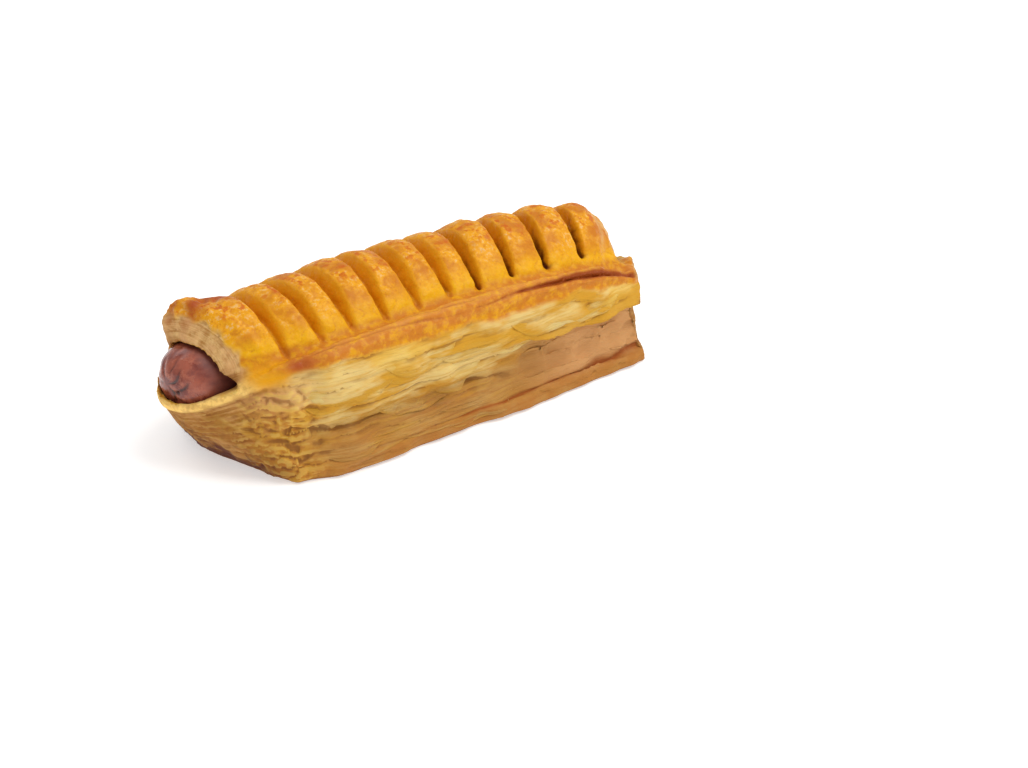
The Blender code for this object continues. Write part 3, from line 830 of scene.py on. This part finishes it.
    # the glaze's lower band on the near side, and its evener gold on the far side
    farSide = look.spread(where["Y"], -0.002, 0.008)
    nearSide = look.minus(1.0, farSide)
    band = look.times(look.spread(height, 0.1, -0.12), nearSide)
    top = look.blend(look.times(band, look.spread(blotches, 0.35, 0.6, 0.3, 0.9)), top, tints["bronze"])
    back = look.times(look.spread(height, 0.8, -0.5), farSide)
    top = look.blend(look.times(back, 0.8), top, tints["back"])
    top = look.blend(look.times(back, look.spread(patches, 0.38, 0.66, 0, 0.6)), top, tints["bronze"])
    top = look.blend(look.times(back, look.spread(blotches, 0.52, 0.66, 0, 0.5)), top, tints["bronze"])
    top = look.blend(look.times(back, look.spread(dapple, 0.46, 0.32, 0, 0.4)), top, tints["crumb"])

    # all of it together, then the scorched places, the painted shade in the slit holes, and the hidden places
    base = look.blend(look.mask("top"), side, top)
    base = look.blend(look.mask("rimToCrimp"), base, tints["gold"])
    base = look.blend(look.mask("scorch"), base, tints["scorch"])
    # painted shade in the slit holes
    base = look.blend(look.mask("cut"), base, tints["holeShadow"])
    base = look.blend(look.spread(look.mask("seam"), 0.08, 0.75, 0.0, 0.95), base, tints["seam"])
    base = look.blend(look.times(look.mask("inside"), 0.8), base, tints["tan"])
    base = look.blend(look.times(look.mask("floor"), 0.9), base, tints["brown"])

    glaze = look.spread(look.mask("top"), 0, 1, 0, pastryFinish["glaze"])
    look.links.new(glaze, look.shader["Coat Weight"])
    look.shader["Coat Roughness"].default_value = pastryFinish["glazeRoughness"]
    matt = look.spread(look.mask("top"), 0, 1, 0.7, 0.46)
    matt = look.plus(matt, look.spread(blotches, 0.3, 0.7, -0.07, 0.1))
    endHeight = look.plus(look.times(endLines, 0.7), look.times(specks, 0.4))
    topHeight = look.plus(look.times(blotches, 0.8), look.times(specks, 0.35))
    below = look.mix(onEnds, layers["Lines"], endHeight)
    return finishLook(look, base, matt, look.mix(look.mask("top"), below, topHeight))


crust.data.materials.append(pastryLook())
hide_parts("pastry")
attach(crust, "root")
print("pastry finished")


# loose sheets of pastry on the long sides

flakes = {
    "thickness": 0.18,
    "tuck": 0.3,
    "columns": 20,
    "rows": 6,
    "margin": 0.12,  # how far the sheets stay inside the part's width
    "seed": 11,
    "near": {  # each sheet of the set as start and end, in x and z, height, and lift of its lower edge
        "set": (
            ((-55, 26.6), (-25, 26.2), 5.5, 0.35), ((-52, 19.2), (-24, 17.6), 4.5, 0.3),
            ((-30, 28.0), (-4, 28.2), 5.0, 0.35), ((-13, 27.2), (14, 26.8), 5.0, 0.4),
            ((5, 24.4), (23, 21.0), 3.4, 0.35), ((14, 28.4), (39, 25.0), 4.6, 0.35),
            ((36, 24.8), (60, 26.6), 4.4, 0.35),
        ),
        "count": 20, "from": (-56, 14), "to": (60, 27),
        "length": (12, 34), "height": (1.6, 4.2), "lift": (0.1, 0.35),
    },
    "low": {
        "set": (), "count": 12, "from": (-56, 4), "to": (14, 13),
        "length": (10, 26), "height": (1.0, 2.4), "lift": (0.05, 0.2),
    },
    "far": {
        "set": (), "count": 24, "from": (-56, 4), "to": (60, 15),
        "length": (9, 26), "height": (1.6, 3.6), "lift": (0.1, 0.4),
    },
}
outwards = {"near": (0, -1, 0), "low": (0, -1, 0), "far": (0, 1, 0)}


def pastrySurface():
    faces = [tuple(face.vertices) for face in crust.data.polygons]
    return BVHTree.FromPolygons([tuple(point) for point in pointsOf(crust)], faces)


def landOn(surface, wall, across, height):
    out = Vector(outwards[wall])
    return surface.ray_cast(out * 120 + Vector((across, 0, height)), -out)[0]


def layFlake(grid, surface, wall, start, end, height, lift, seed):
    columns, rows = flakes["columns"], flakes["rows"]
    middle = ((start[0] + end[0]) / 2, (start[1] + end[1]) / 2)
    out = Vector(outwards[wall])
    spots = []
    for row in range(rows + 1):
        t = row / rows
        for column in range(columns + 1):
            s = 2 * column / columns - 1
            wide = max(1 - abs(s) ** 3.0, 0) ** 0.7
            wavy = noise.noise(Vector((s * 2.3, seed, 0)))
            ragged = noise.noise(Vector((s * 6.0, seed, 5)))
            across = middle[0] + s * (end[0] - start[0]) / 2 + 0.5 * ragged * t
            level = middle[1] + s * (end[1] - start[1]) / 2 + 0.9 * wavy
            level -= t * height * wide * (1 + 0.5 * wavy + 0.3 * ragged)
            hit = landOn(surface, wall, across, max(level, 0.6))
            if hit is None:
                return None
            stand = -flakes["tuck"] + (flakes["tuck"] + lift * (1 + 0.5 * ragged)) * t**1.2 * wide
            spots.append(hit + out * stand)
    points = np.array([tuple(spot) for spot in spots]).reshape(rows + 1, columns + 1, 3)
    if np.abs(np.diff(points, axis=1)).max() > 6 or np.abs(np.diff(points, axis=0)).max() > 3.5:
        return None  # it would bridge a gap
    for _ in range(4):
        points[:, 1:-1] = 0.5 * points[:, 1:-1] + 0.25 * (points[:, 2:] + points[:, :-2])
        points[1:-1] = 0.5 * points[1:-1] + 0.25 * (points[2:] + points[:-2])
    low, high = cadBox[0][1] / mm + flakes["margin"], cadBox[1][1] / mm - flakes["margin"]
    points[..., 1] = np.clip(points[..., 1], low, high)
    flake = grid.copy()
    flake.data = grid.data.copy()
    bpy.context.scene.collection.objects.link(flake)
    movePoints(flake, points.reshape(-1, 3))
    down = np.repeat(np.arange(rows + 1) / rows, columns + 1)
    sideways = np.tile(2 * np.arange(columns + 1) / columns - 1, rows + 1)
    store(flake, "rim", np.maximum(ramp(down, 0.55, 1), ramp(np.abs(sideways), 0.75, 1)))
    store(flake, "tone", np.full(len(down), random.random()))
    return flake


def growFlakes():
    random.seed(flakes["seed"])
    surface = pastrySurface()
    pickNothing()
    bpy.ops.mesh.primitive_grid_add(x_subdivisions=flakes["columns"], y_subdivisions=flakes["rows"], size=1)
    grid = bpy.context.active_object
    laid = []
    for wall in ("near", "low", "far"):
        plan = flakes[wall]
        wanted = [(start, end, height, lift) for start, end, height, lift in plan["set"]]
        for _ in range(plan["count"]):
            length = random.uniform(*plan["length"])
            across = random.uniform(plan["from"][0] + length / 2, plan["to"][0] - length / 2)
            level = random.uniform(plan["from"][1], plan["to"][1])
            slope = random.uniform(-0.06, 0.06) * length
            if wall == "near" and across + length / 2 > 10 and level < 23:
                continue  # it would hang over the recess
            wanted.append(((across - length / 2, level - slope), (across + length / 2, level + slope),
                           random.uniform(*plan["height"]), random.uniform(*plan["lift"])))
        for number, (start, end, height, lift) in enumerate(wanted):
            flake = layFlake(grid, surface, wall, start, end, height, lift, number * 1.7 + len(laid) * 0.3)
            if flake is not None:
                laid.append(flake)
    bpy.data.objects.remove(grid)
    pickNothing()
    for flake in laid:
        flake.select_set(True)
    bpy.context.view_layer.objects.active = laid[0]
    bpy.ops.object.join()
    sheets = bpy.context.active_object
    sheets.name = "flakes"
    sheets.data.materials.clear()
    thick = sheets.modifiers.new("thick", "SOLIDIFY")
    thick.thickness = flakes["thickness"] * mm
    thick.offset = 0
    applyAll(sheets)
    bpy.ops.object.mode_set(mode="EDIT")
    bpy.ops.mesh.select_all(action="SELECT")
    bpy.ops.mesh.normals_make_consistent(inside=False)
    bpy.ops.object.mode_set(mode="OBJECT")
    sheets.data.shade_smooth()
    print("flakes laid:", len(laid))
    return sheets


flakeFinish = {
    "specular": 0.15,
    "glow": 0.12,
    "glowReach": (0.004, 0.002, 0.0008),
    "glowScale": 0.5,
    "bump": 0.5,
    "bumpHeight": 0.0005,
}


def flakeLook():
    look = materialTree("flakeSheet", flakeFinish)
    tints = pastryColours
    tone = look.mask("tone")
    layers = look.use(bakedLayers, Tone=tone)
    clouds = look.speckle(look.place((1, 1, 3)), 120, 3)
    grainy = look.speckle(look.place((0.4, 0.4, 3)), 900, 3)
    rim = look.times(look.mask("rim"), look.spread(tone, 0.3, 0.9, 0.0, 0.5))
    base = look.blend(rim, layers["Color"], tints["butter"])
    matt = look.spread(clouds, 0.3, 0.7, 0.5, 0.66)
    return finishLook(look, base, matt, look.plus(grainy, layers["Lines"]))


sheets = growFlakes()
sheets.data.materials.append(flakeLook())
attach(sheets, "root")
print("flakes finished:", len(sheets.data.polygons), "faces")


# the frankfurter

sausage = {
    "radius": 11.62,
    "ends": (-79.65, 77.95),
    "tipRound": 12.5,
    "axis": pastry["sausageAxis"],
    "lift": pastry["sausageLift"],
    "rings": 150,
    "sides": 112,
    # wrinkles of the tips: both ends as (y, z) from the middle of the tip, width, depth
    "wrinkles": (
        ((-4.6, 5.6), (-2.4, -1.2), 0.5, 0.65), ((-7.9, 2.9), (-4.4, -1.8), 0.55, 0.7),
        ((-1.4, 3.0), (-2.2, -2.0), 0.45, 0.55), ((-6.6, -4.0), (-2.2, -3.6), 0.5, 0.5),
        ((-3.0, 8.6), (-0.8, 4.2), 0.5, 0.35), ((2.2, 5.0), (0.2, -0.6), 0.5, 0.5),
        ((4.6, 1.4), (0.4, -2.4), 0.5, 0.5), ((-4.2, -7.6), (-1.4, -4.0), 0.5, 0.4),
        ((3.2, -6.4), (0.6, -3.6), 0.5, 0.4),
    ),
    "dimple": ((-1.4, -1.6), 2.6, 0.7),  # middle, width, depth
    "drawnIn": 9.0,  # how far from each end the skin is puckered
    "wrinkleDepth": 1.25,
}


def nearSegment(y, z, start, end):
    run = np.array(end) - np.array(start)
    share = ((y - start[0]) * run[0] + (z - start[1]) * run[1]) / run.dot(run)
    clipped = np.clip(share, 0, 1)
    return np.hypot(y - start[0] - clipped * run[0], z - start[1] - clipped * run[1]), clipped


def stuffSausage():
    pickNothing()
    bpy.ops.mesh.primitive_uv_sphere_add(
        segments=sausage["sides"], ring_count=sausage["rings"], radius=1, rotation=(0, math.pi / 2, 0)
    )
    link = bpy.context.active_object
    link.name = "frankfurter"
    bpy.ops.object.transform_apply(location=True, rotation=True, scale=True)
    ball = pointsOf(link) * mm
    low, high = sausage["ends"]
    share = np.arccos(np.clip(-ball[:, 0], -1, 1)) / math.pi
    spot = 0.5 * share + 0.5 * (1 - np.cos(share * math.pi)) / 2
    x = low + (high - low) * spot
    angle = np.arctan2(ball[:, 2], ball[:, 1])
    fromTip = np.minimum(x - low, high - x)
    closing = np.clip(fromTip / sausage["tipRound"], 0, 1)
    radius = sausage["radius"] * np.sqrt(np.maximum(1 - (1 - closing) ** 2, 0))
    y = radius * np.cos(angle)
    z = radius * np.sin(angle)
    flat = np.column_stack([x, y, z])
    # skin drawn in at the tips by a dimple and a few crooked wrinkles that run towards it
    drawn = np.clip(1 - fromTip / sausage["drawnIn"], 0, 1)
    crookedY = y + 1.1 * wander(flat, (3, 3, 3), 25)
    crookedZ = z + 1.1 * wander(flat, (3, 3, 3), 26)
    # how strongly painted shade darkens each wrinkle of the tips
    skinFoldShade = np.zeros(len(x))
    sunk = np.zeros(len(x))
    for start, end, width, depth in sausage["wrinkles"]:
        distance, clipped = nearSegment(crookedY, crookedZ, start, end)
        line = np.exp(-((distance / width) ** 2)) * (0.35 + 0.65 * clipped) * ramp(drawn, 0, 0.35)
        skinFoldShade = np.maximum(skinFoldShade, line * depth / 0.5)
        sunk = np.maximum(sunk, line * depth * sausage["wrinkleDepth"])
    middle, spread, depth = sausage["dimple"]
    sunk += depth * np.exp(-((y - middle[0]) ** 2 + (z - middle[1]) ** 2) / spread**2) * ramp(drawn, 0.2, 0.8)
    sunk += (0.25 * wander(flat, (4, 2.4, 2.4), 24) + 0.1) * drawn
    sunk -= 0.12 * wander(flat, (7, 4, 4), 23) - 0.08
    side = np.where(x < 0, -1, 1)
    around = sausage["radius"] ** 2
    out = np.column_stack([side * (1 - closing) / sausage["tipRound"], y / around, z / around])
    out /= np.maximum(np.linalg.norm(out, axis=1), 1e-6)[:, None]
    lift = np.where(x < 0, sausage["lift"][0] * (x / 79.8) ** 2, sausage["lift"][1] * (x / 78) ** 2)
    middle = np.column_stack([0 * x, 0 * x + sausage["axis"][0], sausage["axis"][1] + lift])
    movePoints(link, flat + middle - out * sunk[:, None])
    # painted shade: the skin darkens away from its tips, where the flap shades it
    store(link, "paintedShade", ramp(fromTip, 5.5, 10.5))
    # painted shade in the wrinkles of the tips
    store(link, "skinFoldShade", np.clip(skinFoldShade, 0, 1))
    store(link, "skin", flat)
    link.data.shade_smooth()
    return link


sausageColours = {
    "pink": colour(158, 82, 60),
    "smoked": colour(114, 48, 38),
    "light": colour(176, 100, 74),
    # painted shade for the skin under the flap
    "paintedShade": colour(88, 34, 24),
    # painted shade colour for the wrinkles
    "skinFoldShadow": colour(56, 20, 18),
}
sausageFinish = {
    "specular": 0.5,
    "glow": 0.1,
    "glowReach": (0.004, 0.0012, 0.0008),
    "glowScale": 0.4,
    "bump": 0.25,
    "bumpHeight": 0.0004,
}


def sausageLook():
    look = materialTree("cookedSkin", sausageFinish)
    tints = sausageColours
    skin = look.vector("skin")
    streaks = look.speckle(look.place((0.12, 0.3, 0.3), skin), 1.0, 4)
    mottle = look.speckle(look.place((0.4, 0.4, 0.4), skin), 1.0, 5, 0.6)
    fine = look.speckle(look.place((2.5, 2.5, 2.5), skin), 1.0, 3)
    base = look.blend(look.spread(streaks, 0.35, 0.65), tints["pink"], tints["smoked"])
    base = look.blend(look.spread(mottle, 0.5, 0.75), base, tints["light"])
    # painted shade over the skin under the flap, away from the tips
    base = look.blend(look.times(look.mask("paintedShade"), 0.75), base, tints["paintedShade"])
    # painted shade darkens the wrinkles of the tips
    base = look.blend(look.spread(look.mask("skinFoldShade"), 0.15, 0.85, 0, 0.92), base, tints["skinFoldShadow"])
    gloss = look.timesPlus(look.mask("paintedShade"), 0.4, look.spread(mottle, 0.3, 0.7, 0.16, 0.32))
    return finishLook(look, base, gloss, look.plus(mottle, look.times(fine, 0.3)))


frankfurter = stuffSausage()
frankfurter.data.materials.append(sausageLook())
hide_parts("sausage")
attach(frankfurter, "root")
print("frankfurter finished")
